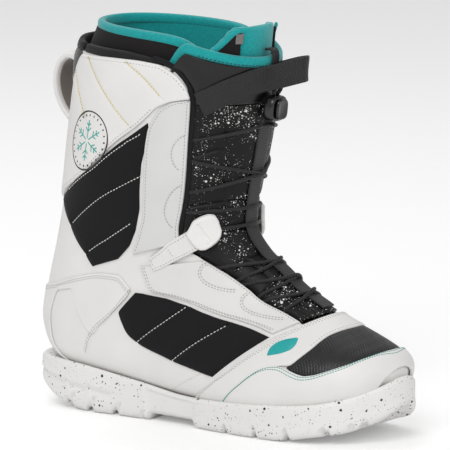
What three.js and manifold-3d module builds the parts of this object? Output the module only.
// Snowboard boot for the right foot: outer boot, removable liner, tongue, lace, lock and pull handle.
// Millimetres, +Z up, toe towards -Y, outer (lateral) side towards -X, standing on Z = 0.

import * as THREE from 'three';
import Module from 'manifold-3d';

const wasm = await Module();
wasm.setup();

// ---------------------------------------------------------------- driving dimensions

const shellWall = 3;
const panelGap = 0.8;
const panelThickness = 1.2;
const secondLayer = 2.8;
const laceRadius = 1.5;
const foldLevel = 4.25;
const toeLevel = 14;

// Sections of the boot from above the collar (0) through the collar (1) to the toe tip (14).
// Each is a plane ring between a back or bottom point and a front or top point, both [y, z],
// with its half width to each side, the place of its widest point from back to front (0 to 1)
// and how square its back and front halves are (2 is an ellipse).
const sections = [
  { back: [100, 300], front: [-45, 292], lateral: 53, medial: 53, widest: 0.48, square: [2.2, 2.2] },
  { back: [115, 268], front: [-42, 262], lateral: 54, medial: 54, widest: 0.48, square: [2.2, 2.2] },
  { back: [119, 235], front: [-39, 232], lateral: 55, medial: 55, widest: 0.48, square: [2.2, 2.2] },
  { back: [124, 198], front: [-34, 200], lateral: 55, medial: 55, widest: 0.47, square: [2.2, 2.1] },
  { back: [129, 160], front: [-28, 170], lateral: 54, medial: 53, widest: 0.45, square: [2.2, 2.0] },
  { back: [137, 122], front: [-26, 144], lateral: 50, medial: 49, widest: 0.42, square: [2.3, 2.0] },
  { back: [146, 88], front: [-38, 126], lateral: 46, medial: 45, widest: 0.38, square: [2.4, 2.0] },
  { back: [149, 57], front: [-56, 113], lateral: 44, medial: 43, widest: 0.35, square: [2.5, 2.0] },
  { back: [129, 33], front: [-72, 101], lateral: 45, medial: 43, widest: 0.33, square: [2.7, 2.0] },
  { back: [66, 24], front: [-90, 92], lateral: 47, medial: 43, widest: 0.33, square: [3.0, 2.0] },
  { back: [0, 17], front: [-106, 83], lateral: 51, medial: 46, widest: 0.33, square: [3.2, 2.0] },
  { back: [-60, 16], front: [-121, 76], lateral: 54, medial: 48, widest: 0.33, square: [3.2, 2.0] },
  { back: [-106, 20], front: [-137, 69], lateral: 49, medial: 43, widest: 0.35, square: [3.0, 2.0] },
  { back: [-138, 29], front: [-150, 62], lateral: 36, medial: 32, widest: 0.4, square: [2.6, 2.0] },
  { back: [-156, 41], front: [-158, 52], lateral: 8, medial: 8, widest: 0.5, square: [2.0, 2.0] },
];

// Outsole stations from heel to toe: y, top edge height, bottom edge height and half width.
const soleStations = [
  [150, 37, 26, 6], [148, 37, 21, 17], [141, 36.5, 14, 29], [120, 36, 5, 39.5], [90, 34, 0, 44.5],
  [40, 27, 0, 45], [0, 22, 0, 49], [-45, 23, 0, 56], [-85, 25.5, 0, 58], [-118, 29, 5, 53.5],
  [-140, 34, 9, 42.5], [-152, 39, 14, 29], [-160, 44, 20, 16], [-163, 47, 25, 4],
];
const medialSole = 0.91;

// ---------------------------------------------------------------- the boot surface

const degrees = Math.PI / 180;
const vec = (x, y, z) => new THREE.Vector3(x, y, z);
const clamp = THREE.MathUtils.clamp;

// Uniform Catmull-Rom interpolation over rows of numbers; the level counts rows from 0.
function blendRows(rows, level) {
  const last = rows.length - 1;
  const i = Math.min(Math.floor(clamp(level, 0, last)), last - 1);
  const f = clamp(level, 0, last) - i;
  const row = (k) => {
    if (k < 0) return rows[0].map((value, n) => 2 * value - rows[1][n]);
    if (k > last) return rows[last].map((value, n) => 2 * value - rows[last - 1][n]);
    return rows[k];
  };
  const [p, q, r, s] = [row(i - 1), row(i), row(i + 1), row(i + 2)];
  return q.map((value, n) => 0.5 * (2 * value + (r[n] - p[n]) * f
    + (2 * p[n] - 5 * value + 4 * r[n] - s[n]) * f * f
    + (3 * value - p[n] - 3 * r[n] + s[n]) * f * f * f));
}

const sectionRows = sections.map((s) => [...s.back, ...s.front, s.lateral, s.medial, s.widest, ...s.square]);

// A point of the boot surface: level counts the sections, angle runs from the back or bottom line (0)
// over the lateral side (positive) or the medial side (negative) to the front or top line (180).
// The inset draws the ring in from the back, the front and the sides, to make inner layers.
function surface(level, angle, inset = { back: 0, front: 0, side: 0 }) {
  const [by, bz, fy, fz, lateral, medial, widest, backSquare, frontSquare] = blendRows(sectionRows, level);
  const wrapped = angle > 180 ? angle - 360 : angle;
  const turn = Math.abs(wrapped) * degrees;
  const atBack = turn <= Math.PI / 2;
  const square = atBack ? backSquare : frontSquare;
  const c = Math.abs(Math.cos(turn)) ** (2 / square);
  const s = Math.abs(Math.sin(turn)) ** (2 / square);
  const along = atBack ? widest * (1 - c) : widest + (1 - widest) * c;
  const width = (wrapped >= 0 ? lateral : medial) - inset.side;
  const length = Math.hypot(fy - by, fz - bz);
  const k = inset.back / length + along * (1 - (inset.back + inset.front) / length);
  return vec(-Math.sign(wrapped) * width * s, by + (fy - by) * k, bz + (fz - bz) * k);
}

// A point lifted off the boot surface along its outward normal.
function lifted(level, angle, height) {
  const u = clamp(level, 0.02, toeLevel - 0.02);
  const alongLevel = surface(u + 0.02, angle).sub(surface(u - 0.02, angle));
  const aroundAngle = surface(u, angle + 1).sub(surface(u, angle - 1));
  const normal = alongLevel.cross(aroundAngle).normalize();
  return surface(level, angle).addScaledVector(normal, height);
}

// Half width, top and bottom height of the outsole where its outline has this y.
function soleTop(y) {
  for (let t = 0; t < soleStations.length - 1; t += 0.01) {
    const row = blendRows(soleStations, t);
    if (row[0] <= y) return row[1];
  }
  return soleStations[soleStations.length - 1][1];
}

// The angle where the boot surface meets the top edge of the outsole at one level of the foot.
function seatAngle(level, clearance = 1.2) {
  let low = 5;
  let high = 150;
  for (let i = 0; i < 30; i += 1) {
    const middle = (low + high) / 2;
    const p = surface(level, middle);
    if (p.z < soleTop(p.y) + clearance) low = middle;
    else high = middle;
  }
  return high;
}

// The level where the boot surface meets the top edge of the outsole at one angle round the heel.
function seatLevel(angle, clearance = 2.8) {
  let low = 6.2;
  let high = 8.3;
  for (let i = 0; i < 30; i += 1) {
    const middle = (low + high) / 2;
    const p = surface(middle, angle);
    if (p.z > soleTop(p.y) + clearance) low = middle;
    else high = middle;
  }
  return low;
}

// ---------------------------------------------------------------- solids

function triangleGeometry(points, faces) {
  const geometry = new THREE.BufferGeometry();
  geometry.setAttribute('position', new THREE.Float32BufferAttribute(points.flatMap((p) => [p.x, p.y, p.z]), 3));
  geometry.setIndex(faces.flat());
  geometry.computeVertexNormals();
  return geometry;
}

function quad(faces, a, b, c, d) {
  faces.push([a, b, c], [a, c, d]);
}

// A sheet with thickness between an outer and an inner grid of points, closed by walls round its rim.
function sheetSolid(outer, inner) {
  const rows = outer.length;
  const columns = outer[0].length;
  const points = [...outer.flat(), ...inner.flat()];
  const faces = [];
  const out = (i, j) => i * columns + j;
  const into = (i, j) => rows * columns + i * columns + j;
  for (let i = 0; i < rows - 1; i += 1) {
    for (let j = 0; j < columns - 1; j += 1) {
      quad(faces, out(i, j), out(i + 1, j), out(i + 1, j + 1), out(i, j + 1));
      quad(faces, into(i, j), into(i, j + 1), into(i + 1, j + 1), into(i + 1, j));
    }
    quad(faces, out(i, 0), into(i, 0), into(i + 1, 0), out(i + 1, 0));
    quad(faces, out(i, columns - 1), out(i + 1, columns - 1), into(i + 1, columns - 1), into(i, columns - 1));
  }
  for (let j = 0; j < columns - 1; j += 1) {
    quad(faces, out(0, j), out(0, j + 1), into(0, j + 1), into(0, j));
    quad(faces, out(rows - 1, j), into(rows - 1, j), into(rows - 1, j + 1), out(rows - 1, j + 1));
  }
  return triangleGeometry(points, faces);
}

// A solid through a row of closed rings with the same number of points, with flat fans on both ends.
function ringSolid(rings) {
  const count = rings[0].length;
  const points = rings.flat();
  const faces = [];
  for (let i = 0; i < rings.length - 1; i += 1) {
    for (let j = 0; j < count; j += 1) {
      const next = (j + 1) % count;
      quad(faces, i * count + j, (i + 1) * count + j, (i + 1) * count + next, i * count + next);
    }
  }
  const middle = (ring) => ring.reduce((sum, p) => sum.add(p), vec(0, 0, 0)).divideScalar(count);
  const start = points.length;
  points.push(middle(rings[0]), middle(rings[rings.length - 1]));
  const lastRing = (rings.length - 1) * count;
  for (let j = 0; j < count; j += 1) {
    const next = (j + 1) % count;
    faces.push([start, j, next]);
    faces.push([start + 1, lastRing + next, lastRing + j]);
  }
  return triangleGeometry(points, faces);
}

// A boot-shaped bag with a wall: open at its top and along a throat at the front, closed at the toe.
// Its columns run round the ring between the throat edges, with two more each side of the front line
// on the levels past the end of the throat.
function bagSolid({ levelAt, levels, closedFrom, edgeAt, outerInset, innerInset, columns, outerEnd, innerEnd }) {
  const front = 2;
  const width = columns + 2 * front + 1;
  const shortened = (level, end) => (level < 12 ? level : 12 + ((level - 12) * (end - 12)) / (toeLevel - 12));
  const grid = (inset, end) => levels.map((level) => {
    const edge = edgeAt(Math.min(level, closedFrom - 0.05));
    const row = [];
    for (let j = 0; j < width; j += 1) {
      let angle = -edge + (2 * edge * (j - front)) / columns;
      if (j < front) angle = -180 + ((180 - edge) * j) / front;
      if (j > front + columns) angle = edge + ((180 - edge) * (j - front - columns)) / front;
      row.push(surface(shortened(levelAt(level, angle), end), angle, inset));
    }
    return row;
  });
  const outer = grid(outerInset, outerEnd);
  const inner = grid(innerInset, innerEnd);
  const rows = outer.length;
  const points = [...outer.flat(), ...inner.flat()];
  const faces = [];
  const seam = levels.findIndex((level) => level >= closedFrom);
  const column = (j) => (j === width - 1 ? 0 : j);
  const out = (i, j) => i * width + column(j);
  const into = (i, j) => rows * width + i * width + column(j);
  const left = front;
  const right = front + columns;
  const atFront = (j) => j < left || j >= right;
  for (let i = 0; i < rows - 1; i += 1) {
    for (let j = 0; j < width - 1; j += 1) {
      if (i < seam && atFront(j)) continue;
      quad(faces, out(i, j), out(i + 1, j), out(i + 1, j + 1), out(i, j + 1));
      quad(faces, into(i, j), into(i, j + 1), into(i + 1, j + 1), into(i + 1, j));
    }
    if (i < seam) {
      quad(faces, out(i, left), into(i, left), into(i + 1, left), out(i + 1, left));
      quad(faces, out(i, right), out(i + 1, right), into(i + 1, right), into(i, right));
    }
  }
  for (let j = 0; j < width - 1; j += 1) {
    const rim = atFront(j) ? seam : 0;
    quad(faces, out(rim, j), out(rim, j + 1), into(rim, j + 1), into(rim, j));
  }
  const centre = (row) => row.slice(0, width - 1).reduce((sum, p) => sum.add(p), vec(0, 0, 0)).divideScalar(width - 1);
  const caps = points.length;
  points.push(centre(outer[rows - 1]), centre(inner[rows - 1]));
  for (let j = 0; j < width - 1; j += 1) {
    faces.push([caps, out(rows - 1, j + 1), out(rows - 1, j)]);
    faces.push([caps + 1, into(rows - 1, j), into(rows - 1, j + 1)]);
  }
  return outwards(triangleGeometry(points, faces));
}

// Splits each step of a hand-drawn edge, given as [level, angle] points, into equal parts.
function refine(edge, parts) {
  const points = [edge[0]];
  for (let i = 1; i < edge.length; i += 1) {
    for (let k = 1; k <= parts; k += 1) {
      const f = k / parts;
      points.push([edge[i - 1][0] + (edge[i][0] - edge[i - 1][0]) * f,
        edge[i - 1][1] + (edge[i][1] - edge[i - 1][1]) * f]);
    }
  }
  return points;
}

// A sewn panel on the boot between two edges drawn in level and angle; side -1 mirrors it to the medial side.
function panel(first, second, { side = 1, base = panelGap, thickness = panelThickness, across = 3, parts = 1 } = {}) {
  const a = refine(first, parts);
  const b = refine(second, parts);
  const grid = (height) => a.map((start, i) => {
    const row = [];
    for (let j = 0; j <= across; j += 1) {
      const f = j / across;
      row.push(lifted(start[0] + (b[i][0] - start[0]) * f, side * (start[1] + (b[i][1] - start[1]) * f), height));
    }
    return row;
  });
  return outwards(sheetSolid(grid(base + thickness), grid(base)));
}

// Turns a closed geometry's faces outwards if they point in.
function outwards(geometry) {
  const position = geometry.getAttribute('position');
  const index = geometry.getIndex();
  let volume = 0;
  for (let i = 0; i < index.count; i += 3) {
    const [a, b, c] = [0, 1, 2].map((k) => vec().fromBufferAttribute(position, index.getX(i + k)));
    volume += a.dot(b.cross(c));
  }
  if (volume < 0) {
    for (let i = 0; i < index.count; i += 3) {
      const keep = index.getX(i + 1);
      index.setX(i + 1, index.getX(i + 2));
      index.setX(i + 2, keep);
    }
  }
  geometry.computeVertexNormals();
  return geometry;
}

// A round cord through hand-chosen points.
function cord(points, radius, sides = 8, steps = 24) {
  const path = new THREE.CatmullRomCurve3(points);
  const circle = new THREE.Shape().absarc(0, 0, radius, 0, 2 * Math.PI, false);
  const section = new THREE.Shape(circle.getPoints(sides).slice(0, sides));
  return new THREE.ExtrudeGeometry(section, { steps, extrudePath: path, bevelEnabled: false });
}

// A flat strap through stations of centre, width direction and thickness direction.
function strap(stations, width, thickness) {
  const rings = stations.map(({ centre, across, out }) => [[-1, -1], [1, -1], [1, 1], [-1, 1]].map(
    ([i, j]) => centre.clone().addScaledVector(across, (i * width) / 2).addScaledVector(out, (j * thickness) / 2)));
  return outwards(ringSolid(rings));
}

function solidOf(geometry) {
  const position = geometry.getAttribute('position');
  const index = geometry.getIndex();
  const mesh = new wasm.Mesh({
    numProp: 3,
    vertProperties: new Float32Array(position.array),
    triVerts: new Uint32Array(index.array),
  });
  mesh.merge();
  return new wasm.Manifold(mesh);
}

function geometryOf(solid) {
  const mesh = solid.getMesh();
  const geometry = new THREE.BufferGeometry();
  geometry.setAttribute('position', new THREE.BufferAttribute(mesh.vertProperties, 3));
  geometry.setIndex(new THREE.BufferAttribute(mesh.triVerts, 1));
  geometry.computeVertexNormals();
  return geometry;
}

// ---------------------------------------------------------------- materials

const finish = (color, roughness, metalness = 0) => () => new THREE.MeshStandardMaterial({ color, roughness, metalness });
const whiteLeather = finish(0xe9e6e3, 0.5);
const greyLeather = finish(0xdad8d5, 0.5);
const blackFabric = finish(0x1e1e20, 0.85);
const blackWebbing = finish(0x161618, 0.8);
const whiteWebbing = finish(0xdedbd8, 0.75);
const whiteRubber = finish(0xe6e3e0, 0.55);
const teal = finish(0x12a3a3, 0.6);
const darkStretch = finish(0x3a3a3b, 0.8);
const blackPlastic = finish(0x101011, 0.35);
const grey = finish(0x6f6d6b, 0.9);

const boot = new THREE.Group();

function add(name, geometry, material) {
  const mesh = new THREE.Mesh(geometry, material());
  mesh.name = name;
  boot.add(mesh);
  return mesh;
}

const sides = [['lateral', 1], ['medial', -1]];

// ---------------------------------------------------------------- edges shared by several pieces

// Angle of the throat edge at each level, on the lateral side.
const throatEdge = [[0, 119], [1, 121], [1.5, 123], [1.9, 124], [2.4, 125], [3.1, 127], [3.6, 129],
  [4.1, 130], [4.7, 128.5], [5.2, 128], [5.5, 131], [5.85, 136], [6.2, 140], [6.6, 143.5],
  [7.1, 146], [7.5, 148], [8.7, 149.3], [9.6, 150.5]];

function throat(level) {
  const last = throatEdge.length - 1;
  const i = clamp(throatEdge.findIndex(([u]) => u > level), 1, last);
  const [u0, a0] = throatEdge[i - 1];
  const [u1, a1] = throatEdge[i];
  return a0 + ((a1 - a0) * clamp(level - u0, 0, u1 - u0)) / (u1 - u0);
}

const throatLine = (levels, gap = 0) => levels.map((level) => [level, throat(level) + gap]);
const mirrored = (half) => [...half, ...half.slice(0, -1).reverse().map(([u, a]) => [u, 360 - a])];
const mirroredAtHeel = (half) => [...half, ...half.slice(0, -1).reverse().map(([u, a]) => [u, -a])];

// ---------------------------------------------------------------- outsole

// A cup of plan rings: each goes from the middle of the tread out, up the side wall and back to the middle.
function outsoleSolid() {
  const stationCount = 40;
  const last = soleStations.length - 1;
  const outline = [];
  for (let i = 0; i <= stationCount; i += 1) outline.push(blendRows(soleStations, (i * last) / stationCount));
  const loop = [...outline.map((row) => [row, -1]), ...outline.slice().reverse().map((row) => [row, medialSole])];
  const plan = loop.map(([row, side]) => new THREE.Vector2(side * row[3], row[0]));
  const lowAt = (y) => Math.max(0, outline.reduce((near, row) => (
    Math.abs(row[0] - y) < Math.abs(near[0] - y) ? row : near))[2]);
  const archLift = (y) => 5 * clamp((36 - y) / 5, 0, 1) * clamp((y + 12) / 8, 0, 1);
  const spine = (y) => clamp(y, -118, 108);
  const rings = loop.map(([row], i) => {
    const before = plan[(i + plan.length - 1) % plan.length];
    const after = plan[(i + 1) % plan.length];
    const along = after.clone().sub(before).normalize();
    const inward = new THREE.Vector2(-along.y, along.x);
    if (inward.dot(plan[i].clone().sub(new THREE.Vector2(0, spine(row[0])))) > 0) inward.negate();
    const at = (depth, z) => vec(plan[i].x + inward.x * depth, plan[i].y + inward.y * depth, z);
    const [, top, low] = row;
    const middle = spine(row[0]);
    const bottom = Math.max(0, low) + archLift(row[0]);
    const treadCentre = vec(0, middle, lowAt(middle) + archLift(middle));
    return [treadCentre, at(14, bottom), at(4.5, bottom), at(1, bottom + 5), at(0, (low + top) / 2),
      at(0.5, top - 2), at(2.2, top), at(7, top - 0.8), vec(0, middle, 33)];
  });
  const points = rings.flat();
  const count = rings[0].length;
  const faces = [];
  for (let i = 0; i < rings.length; i += 1) {
    const next = (i + 1) % rings.length;
    for (let j = 0; j < count - 1; j += 1) {
      quad(faces, i * count + j, i * count + j + 1, next * count + j + 1, next * count + j);
    }
  }
  return triangleGeometry(points, faces);
}

// The boot's lower outside with clearance for the panels, used to hollow the cup.
function footEnvelope() {
  const levels = [5.5, 6, 6.5, 7, 7.4, 7.8, 8.2, 8.7, 9.3, 10, 10.6, 11.2, 11.8, 12.4, 12.9, 13.3, 13.6, 13.85, 13.98];
  const rings = levels.map((level) => {
    const ring = [];
    for (let j = 0; j < 36; j += 1) ring.push(lifted(level, -175 + j * 10, 3.6));
    return ring;
  });
  const tip = lifted(13.98, 0, 2.6).y - 2.2;
  rings.push(rings[rings.length - 1].map((p) => vec(p.x * 0.6, tip, 46 + (p.z - 46) * 0.6)));
  return outwards(ringSolid(rings));
}

const soleBlank = solidOf(outwards(outsoleSolid()));
add('outsole', geometryOf(soleBlank.subtract(solidOf(footEnvelope()))), whiteRubber);

// ---------------------------------------------------------------- shell

const roundedCorner = (angle) => {
  const past = clamp((Math.abs(angle) - 100) / 24, 0, 1);
  return 0.9 * (1 - Math.sqrt(1 - past * past));
};
const collarLevel = (level, angle) => {
  const blendEnd = 2.7;
  if (level >= blendEnd) return level;
  const top = 1 + roundedCorner(angle);
  return top + ((level - 1) / (blendEnd - 1)) * (blendEnd - top);
};
const shellLevels = [1, 1.35, 1.75, 2.2, 2.7, 3.2, 3.7, 4.2, 4.7, 5.2, 5.7, 6.2, 6.7, 7.2, 7.6, 8, 8.5, 9, 9.6,
  10.2, 10.7, 11.2, 11.7, 12.2, 12.7, 13.1, 13.5, 13.8, 14];
const none = { back: 0, front: 0, side: 0 };
const shellInner = { back: shellWall, front: shellWall, side: shellWall };
add('shell', bagSolid({
  levelAt: collarLevel,
  levels: shellLevels,
  closedFrom: 9.6,
  edgeAt: throat,
  outerInset: none,
  innerInset: shellInner,
  columns: 26,
  outerEnd: toeLevel,
  innerEnd: 13.65,
}), whiteLeather);

const boardOuter = { back: 3.9, front: 3, side: 4.4 };
const boardInner = { back: 5.4, front: 3, side: 5.4 };
const footbedOuter = { back: 12.2, front: 13, side: 14 };
const footbedInner = { back: 15, front: 13, side: 15 };
const linerOuter = { back: 7, front: 7, side: 5.6 };
const linerInner = { back: 11, front: 13.5, side: 12 };

// A plate that lies on the bottom of one layer of the foot.
function bottomPlate(levels, halfAngle, outerInset, innerInset) {
  const grid = (inset) => levels.map((level) => {
    const row = [];
    for (let j = 0; j <= 6; j += 1) row.push(surface(level, -halfAngle + (2 * halfAngle * j) / 6, inset));
    return row;
  });
  return outwards(sheetSolid(grid(outerInset), grid(innerInset)));
}

const plateLevels = [8.5, 9, 9.6, 10.2, 10.7, 11.2, 11.7, 12.2, 12.5];
add('lasting_board', bottomPlate(plateLevels, 36, boardOuter, boardInner), grey);
add('footbed', bottomPlate(plateLevels, 36, footbedOuter, footbedInner), blackFabric);

// ---------------------------------------------------------------- upper panels, lateral and medial

const cuffUpper = [[2.5, 5], [1.75, 29], [1.04, 46], [1.03, 62], [1.03, 77], [1.04, 94], [1.12, 108], [1.32, 116.5]];
const cuffLower = [[4.3, 5], [4.1, 29], [3.8, 53], [3.5, 68], [3.08, 80], [2.42, 97], [1.84, 106], [1.66, 117]];
const facingLevels = [1.8, 2.05, 2.4, 2.8, 3.2, 3.8, 4.3, 4.8, 5.25];
const facingRear = [[1.76, 118.5], [1.9, 108.5], [2.4, 102], [2.9, 103], [3.35, 104.5], [3.9, 107], [4.5, 109],
  [5, 107.5], [5.45, 105]];
const quiltRear = [[2.62, 96.5], [3.12, 84], [3.6, 69.5], [4.18, 40], [4.64, 60], [5.3, 79], [5.68, 86]];
const quiltFront = [[2.75, 100.5], [3.25, 102.3], [3.7, 104], [4.3, 106.5], [4.8, 106], [5.2, 103.5], [5.55, 98]];
const lowerQuiltRear = [[6.65, 104.5], [7.14, 96.5], [7.57, 96.5], [8.14, 95.5], [8.64, 93], [9.05, 91], [9.85, 90]];
const lowerQuiltTop = [[6.72, 107], [7.05, 115], [7.5, 121.5], [8, 125.5], [8.5, 128], [9, 129.5], [9.55, 130.5]];
const footFacingLevels = [5.95, 6.3, 6.7, 7.1, 7.5, 8, 8.6, 9.1, 9.5];
const footFacingLower = [[5.85, 108], [6.25, 109], [6.7, 110], [7, 117], [7.4, 123], [7.9, 127.5], [8.5, 130.8],
  [9, 132.3], [9.5, 133.3]];
const strapUpper = [[5.62, 113], [5.45, 118], [5.23, 123], [4.97, 131]];
const strapLower = [[6.05, 114], [5.94, 119.5], [5.78, 125], [5.5, 134.5]];
const paddleUpper = [[4.93, 133], [4.74, 138.5], [4.64, 144], [4.7, 150]];
const paddleLower = [[5.48, 136.8], [5.4, 144], [5.26, 150], [5.06, 154]];
const insertRear = [[10.3, 112.5], [10.12, 118], [10.02, 124], [10, 131.5]];
const insertFront = [[10.38, 114], [10.42, 121], [10.36, 128], [10.18, 134]];

for (const [name, side] of sides) {
  add(`cuff_panel_${name}`, panel(cuffUpper, cuffLower, { side, parts: 2, across: 4 }), whiteLeather);
  add(`facing_shaft_${name}`, panel(facingRear, throatLine(facingLevels), { side, parts: 2, across: 2 }), greyLeather);
  add(`quilt_upper_${name}`, panel(quiltRear, quiltFront, { side, base: 1.1, parts: 2, across: 5 }), blackFabric);
  add(`quilt_lower_${name}`, panel(lowerQuiltRear, lowerQuiltTop, { side, parts: 2, across: 4 }), blackFabric);
  add(`facing_foot_${name}`, panel(footFacingLower, throatLine(footFacingLevels), { side, parts: 2 }), whiteLeather);
  add(`cuff_binding_${name}`, panel(throatLine([2, 2.4, 3.1, 3.6, 4.1, 4.7, 5.2], 0.5),
    throatLine([2, 2.4, 3.1, 3.6, 4.1, 4.7, 5.2], 2.4), { side, parts: 2, across: 1, base: -3, thickness: 4.5 }),
  blackFabric);
  add(`ankle_strap_${name}`, panel(strapUpper, strapLower, { side, base: secondLayer, parts: 2 }), whiteWebbing);
  add(`strap_paddle_${name}`, panel(paddleUpper, paddleLower, { side, base: secondLayer, thickness: 4, parts: 2 }),
    whiteRubber);
  add(`saddle_insert_${name}`, panel(insertRear, insertFront, { side, base: secondLayer, parts: 2, across: 2 }), teal);
  const disc = (sign) => [-1, -0.8, -0.4, 0, 0.4, 0.8, 1].map((t) => [
    2.9 + sign * 0.6 * Math.sqrt(1.03 - t * t), 62 + 15 * t]);
  add(`emblem_patch_${name}`, panel(disc(-1), disc(1), { side, base: secondLayer, thickness: 0.8 }), blackFabric);
}

// ---------------------------------------------------------------- panels that wrap the heel and the toe

const heelTop = mirroredAtHeel([[6.5, 103], [6.02, 99], [5.86, 89], [5.9, 74], [5.95, 65], [6, 56], [6.02, 36], [6.02, 18], [6.02, 0]]);
const heelLow = mirroredAtHeel([[6.72, 101.5], [7.2, 93], [7.7, 83], ...[74, 65, 56, 36, 18, 0].map((a) => [seatLevel(a), a])]);
add('heel_counter', panel(heelTop, heelLow, { base: 2.4, parts: 1, across: 6 }), whiteLeather);

const backstayLevels = [2.75, 3.3, 3.9, 4.5, 5.1, 5.85];
add('backstay', panel(backstayLevels.map((u) => [u, -3.5]), backstayLevels.map((u) => [u, 3.5]),
  { base: secondLayer, across: 2, parts: 1 }), whiteLeather);

const padTop = mirroredAtHeel([[0.88, 40], [0.8, 27], [0.78, 13], [0.78, 0]]);
const padLow = mirroredAtHeel([[1.06, 42], [1.66, 26], [2.1, 13], [2.36, 0]]);
add('rear_collar_pad', panel(padTop, padLow, { thickness: 4.4, across: 5, parts: 2 }), darkStretch);

const rimAngles = [50, 60, 72, 84, 97];
for (const [name, side] of sides) {
  add(`collar_rim_${name}`, panel(rimAngles.map((a) => [0.82, a]), rimAngles.map((a) => [0.975, a]),
    { side, base: -shellWall, thickness: 3.6, across: 1, parts: 2 }), blackFabric);
}

const saddleRear = mirrored([[10, seatAngle(10)], [9.98, 92], [9.72, 131.5], [9.68, 150], [9.68, 165], [9.68, 180]]);
const saddleFront = mirrored([[10.45, seatAngle(10.45)], [10.53, 90], [10.82, 131], [10.5, 150], [10.58, 167],
  [10.62, 180]]);
add('toe_saddle', panel(saddleRear, saddleFront, { parts: 3, across: 2 }), whiteLeather);

const toeBoxRear = mirrored([[10.86, 116], [10.9, 124], [10.88, 132.5], [10.58, 150], [10.65, 167], [10.68, 180]]);
const toeBoxFront = mirrored([[11.15, 110.5], [11.6, 107], [12, 117], [12.25, 138], [12.4, 160], [12.44, 180]]);
add('toe_box', panel(toeBoxRear, toeBoxFront, { parts: 2, across: 4 }), blackFabric);

const capTop = mirrored([[10.6, 92], [10.66, 104], [11.15, 108], [11.6, 104.5], [12.05, 114], [12.32, 136], [12.47, 160],
  [12.5, 180]]);
const capLow = mirrored([...[10.52, 10.9, 11.4, 12, 12.7, 13.3].map((u) => [u, seatAngle(u)]), [13.8, 130], [13.95, 180]]);
add('toe_cap', panel(capTop, capLow, { base: 1.6, parts: 2, across: 4 }), whiteLeather);

// ---------------------------------------------------------------- liner

const linerThroat = 130;
const linerSeam = 4.4;
const linerSeamGap = 0.02;

// A band of the liner between two of its levels, used for the collar piping and the tongue.
function linerBand(levels, fromAngle, toAngle, columns, outerInset, innerInset) {
  const grid = (inset) => levels.map((level) => {
    const row = [];
    for (let j = 0; j <= columns; j += 1) {
      const u = typeof level === 'function' ? level((fromAngle + ((toAngle - fromAngle) * j) / columns)) : level;
      row.push(surface(u, fromAngle + ((toAngle - fromAngle) * j) / columns, inset));
    }
    return row;
  });
  return outwards(sheetSolid(grid(outerInset), grid(innerInset)));
}

// The leg part is open along its throat; the foot part is closed all round, and sewn on at the ankle.
add('liner_leg', linerBand([0.5, 0.9, 1.4, 2, 2.6, 3.2, 3.8, linerSeam - linerSeamGap], -linerThroat, linerThroat, 20,
  linerOuter, linerInner), blackFabric);
add('liner_foot', bagSolid({
  levelAt: (level) => level,
  levels: [linerSeam, 5, 5.6, 6.2, 6.8, 7.3, 7.8, 8.3, 9, 9.8, 10.6, 11.4, 12.2, 12.9, 13.4, 14],
  closedFrom: linerSeam,
  edgeAt: () => linerThroat,
  outerInset: linerOuter,
  innerInset: linerInner,
  columns: 20,
  outerEnd: 13.5,
  innerEnd: 12.9,
}), blackFabric);
add('liner_piping', linerBand([0.35, 0.49], -130, 130, 24, linerOuter, linerInner), teal);
add('liner_tongue', linerBand([0.02, 0.5, 1, 1.6, 2.2, 2.8, 3.5, 4.2], 132.5, 227.5, 8, linerOuter, linerInner), teal);
add('liner_tongue_patch', panel([[0.2, 150], [0.2, 157]], [[0.45, 150], [0.45, 157]],
  { base: -6, thickness: 0.9, across: 1 }), grey);

// ---------------------------------------------------------------- tongue

const tongueGap = 3.4;
const tongueTop = (angle) => 1.02 - 0.25 * ((180 - Math.min(angle, 360 - angle)) / 55) ** 2;

// A piece of the tongue between levels, as wide as the throat allows.
function tongueSolid(levels, topLevel, outerHeight, innerHeight) {
  const columns = 10;
  const grid = (height) => levels.map((level) => {
    const edge = throat(level) + tongueGap;
    const row = [];
    for (let j = 0; j <= columns; j += 1) {
      const angle = edge + ((360 - 2 * edge) * j) / columns;
      row.push(lifted(topLevel(level, angle), angle, height));
    }
    return row;
  });
  return outwards(sheetSolid(grid(outerHeight), grid(innerHeight)));
}

const shaftTop = (level, angle) => (level < 1.9 ? tongueTop(angle) + ((level - 0.9) * (1.9 - tongueTop(angle))) : level);
add('tongue_shaft', tongueSolid([0.9, 1.3, 1.9, 2.5, 3.1, 3.7, foldLevel - 0.04], shaftTop, 0.2, -4.4), blackFabric);
add('tongue_rim', tongueSolid([0, 1], (level, angle) => tongueTop(angle) - 0.27 + 0.255 * level, 1.4, -5.4), teal);
add('tongue_instep', tongueSolid([foldLevel + 0.04, 4.7, 5.2, 5.7, 6.2, 6.8, 7.5, 8.3, 9, 9.4], (level) => level, 0.2, -4.4),
  blackFabric);
add('tongue_strip_shaft', panel([[2.42, 172], [3.2, 172], [4.15, 172]], [[2.42, 188], [3.2, 188], [4.15, 188]],
  { base: 1, across: 2, parts: 2 }), blackWebbing);
const instepStrip = [4.34, 5.2, 6, 7, 8, 9.2];
add('tongue_strip_instep', panel(instepStrip.map((u) => [u, 172]), instepStrip.map((u) => [u, 188]),
  { base: 1, across: 2, parts: 2 }), blackWebbing);

// ---------------------------------------------------------------- lace

const laceHeight = 4.2;
const crossingLift = 3.4;

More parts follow.
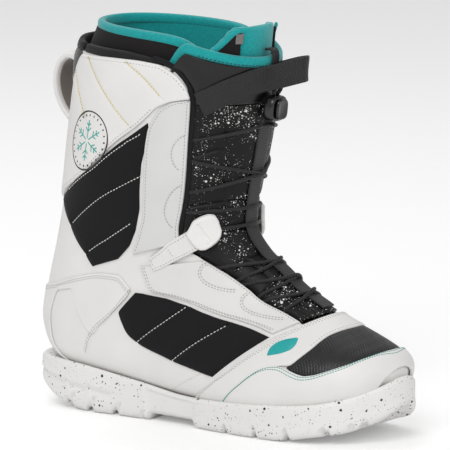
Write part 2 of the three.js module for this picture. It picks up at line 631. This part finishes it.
// Points of a lace that runs on the tongue through [level, angle] corners; it bridges the centre line by a lift.
function lacePoints(corners, lift) {
  const points = [];
  corners.forEach(([level, angle], i) => {
    if (i === 0) return;
    const [fromLevel, fromAngle] = corners[i - 1];
    const parts = Math.max(2, Math.ceil(Math.abs(angle - fromAngle) / 12));
    for (let k = i === 1 ? 0 : 1; k <= parts; k += 1) {
      const f = k / parts;
      const at = fromAngle + (angle - fromAngle) * f;
      const bridge = Math.max(0, 1 - ((at - 180) / 26) ** 2);
      points.push(lifted(fromLevel + (level - fromLevel) * f, at, laceHeight + lift * Math.min(1, 1.6 * bridge)));
    }
  });
  return points;
}

const shaftLace = [[2.4, 175], [2.75, 134], [3.1, 134], [3.35, 225], [3.65, 225], [3.95, 135]];
const instepLace = [[5.9, 143], [6.3, 214], [6.9, 209], [7.6, 153.5], [8.2, 154], [8.6, 205.5]];
const flipped = (corners) => corners.map(([u, a]) => [u, 360 - a]);
add('lace_shaft_a', cord(lacePoints(shaftLace, 0), laceRadius, 8, 26), blackWebbing);
add('lace_shaft_b', cord(lacePoints(flipped(shaftLace), crossingLift), laceRadius, 8, 26), blackWebbing);
add('lace_instep_a', cord(lacePoints(instepLace, 0), laceRadius, 8, 26), blackWebbing);
add('lace_instep_b', cord(lacePoints(flipped(instepLace), crossingLift), laceRadius, 8, 26), blackWebbing);
add('lace_ankle_upper', cord(lacePoints([[4.47, 135], [4.47, 225]], 0), laceRadius, 8, 12), blackWebbing);
add('lace_ankle_lower', cord(lacePoints([[4.95, 157], [4.95, 203]], 0.4), laceRadius, 8, 8), blackWebbing);

// ---------------------------------------------------------------- lace lock and release lever

const lockSize = { width: 20, height: 19, depth: 8, corner: 4 };
const lockCentre = vec(1, -43.4, 232);
const lockLean = 5.5 * degrees;

function roundedPlate(width, height, corner, depth, hole = 0) {
  const shape = new THREE.Shape();
  const [x, y] = [width / 2, height / 2];
  shape.moveTo(-x + corner, -y);
  shape.lineTo(x - corner, -y);
  shape.absarc(x - corner, -y + corner, corner, -Math.PI / 2, 0, false);
  shape.lineTo(x, y - corner);
  shape.absarc(x - corner, y - corner, corner, 0, Math.PI / 2, false);
  shape.lineTo(-x + corner, y);
  shape.absarc(-x + corner, y - corner, corner, Math.PI / 2, Math.PI, false);
  shape.lineTo(-x, -y + corner);
  shape.absarc(-x + corner, -y + corner, corner, Math.PI, 1.5 * Math.PI, false);
  if (hole > 0) shape.holes.push(new THREE.Path().absarc(0, 0, hole, 0, 2 * Math.PI, true));
  return new THREE.ExtrudeGeometry(shape, { depth, bevelEnabled: false, curveSegments: 5 });
}

function placeOnTongue(mesh, forward, up = 0) {
  mesh.rotation.x = Math.PI / 2 + lockLean;
  mesh.position.set(lockCentre.x, lockCentre.y - forward, lockCentre.z + up);
}

placeOnTongue(add('lace_lock', roundedPlate(lockSize.width, lockSize.height, lockSize.corner, lockSize.depth, 3),
  blackPlastic), 0);
placeOnTongue(add('lock_lever', roundedPlate(13, 15, 3, 2.2), blackPlastic), lockSize.depth + 0.7);

// ---------------------------------------------------------------- pull handle and lace tails

const pullDirection = vec(0.55, -0.8, 0.25).normalize();
const webbing = { width: 18, thickness: 1.8 };
const loopRadius = 5.6;

function handleStations() {
  const stations = [];
  const onTongue = [[1.87, 129.5], [1.72, 137], [1.58, 144], [1.47, 151], [1.38, 158], [1.32, 164], [1.29, 171]];
  onTongue.forEach(([u, a]) => stations.push({ centre: lifted(u, a, 3.4) }));
  const leave = stations[stations.length - 1].centre;
  const outwardBend = [vec(0.87, -0.45, 0.12), vec(0.7, -0.66, 0.2)];
  outwardBend.forEach((step) => stations.push({
    centre: stations[stations.length - 1].centre.clone().addScaledVector(step.normalize(), 6),
  }));
  [8, 17].forEach((distance) => stations.push({
    centre: stations[8].centre.clone().addScaledVector(pullDirection, distance),
  }));
  const side = vec(-pullDirection.y, pullDirection.x, 0).normalize();
  const turnCentre = stations[stations.length - 1].centre.clone().addScaledVector(side, loopRadius);
  [35, 70, 110, 145, 180].forEach((turn) => stations.push({
    centre: turnCentre.clone().addScaledVector(side, -loopRadius * Math.cos(turn * degrees))
      .addScaledVector(pullDirection, loopRadius * Math.sin(turn * degrees)),
  }));
  const end = stations[stations.length - 1].centre;
  [8, 16].forEach((distance) => stations.push({ centre: end.clone().addScaledVector(pullDirection, -distance) }));
  const upward = vec(0.02, -0.1, 1).normalize();
  stations.forEach((station, i) => {
    const before = stations[Math.max(i - 1, 0)].centre;
    const after = stations[Math.min(i + 1, stations.length - 1)].centre;
    const along = after.clone().sub(before).normalize();
    station.across = upward.clone().addScaledVector(along, -upward.dot(along)).normalize();
    station.out = along.clone().cross(station.across).normalize();
  });
  return { stations, leave };
}

const handle = handleStations();
add('pull_handle', strap(handle.stations, webbing.width, webbing.thickness), blackWebbing);

const tailTop = handle.stations[handle.stations.length - 1].centre;
const lockTop = lockCentre.z + lockSize.height / 2 + 1.6;
[['lace_tail_left', -2.6], ['lace_tail_right', 2.6]].forEach(([name, shift]) => {
  const low = vec(lockCentre.x + shift, lockCentre.y - 4, lockTop);
  const high = vec(tailTop.x + shift, tailTop.y + 0.3, tailTop.z - webbing.width / 2 - 0.8);
  const middle = low.clone().lerp(high, 0.5).add(vec(0, -0.6, 0));
  add(name, cord([low, middle, high], laceRadius, 8, 5), blackWebbing);
});

// ---------------------------------------------------------------- elastic keepers and heel loop

[181.5, 185].forEach((angle, i) => {
  const route = [[1.18, 3.4], [0.95, 3.5], [0.74, 3.2], [0.6, 1.4], [0.58, -1.6], [0.6, -4.2]];
  add(`handle_keeper_${i + 1}`, cord(route.map(([u, h]) => lifted(u, angle, h)), 1.1, 8, 9), blackWebbing);
});

const heelLoopRoute = [[124, 253.5], [129.5, 256], [135.5, 253.5], [139.5, 247], [140.8, 238], [139, 228.5], [134.5, 220],
  [128.5, 213.5]];
const heelLoop = heelLoopRoute.map(([y, z], i) => {
  const before = heelLoopRoute[Math.max(i - 1, 0)];
  const after = heelLoopRoute[Math.min(i + 1, heelLoopRoute.length - 1)];
  const along = vec(0, after[0] - before[0], after[1] - before[1]).normalize();
  return { centre: vec(0, y, z), across: vec(1, 0, 0), out: vec(1, 0, 0).cross(along) };
});
add('heel_pull_loop', strap(heelLoop, 20, 2.4), whiteLeather);

// ---------------------------------------------------------------- place the boot on its box centre

boot.updateMatrixWorld(true);
const box = new THREE.Box3().setFromObject(boot, true);
const middle = box.getCenter(vec());
boot.position.set(-middle.x, -middle.y, -box.min.z);

export default boot;
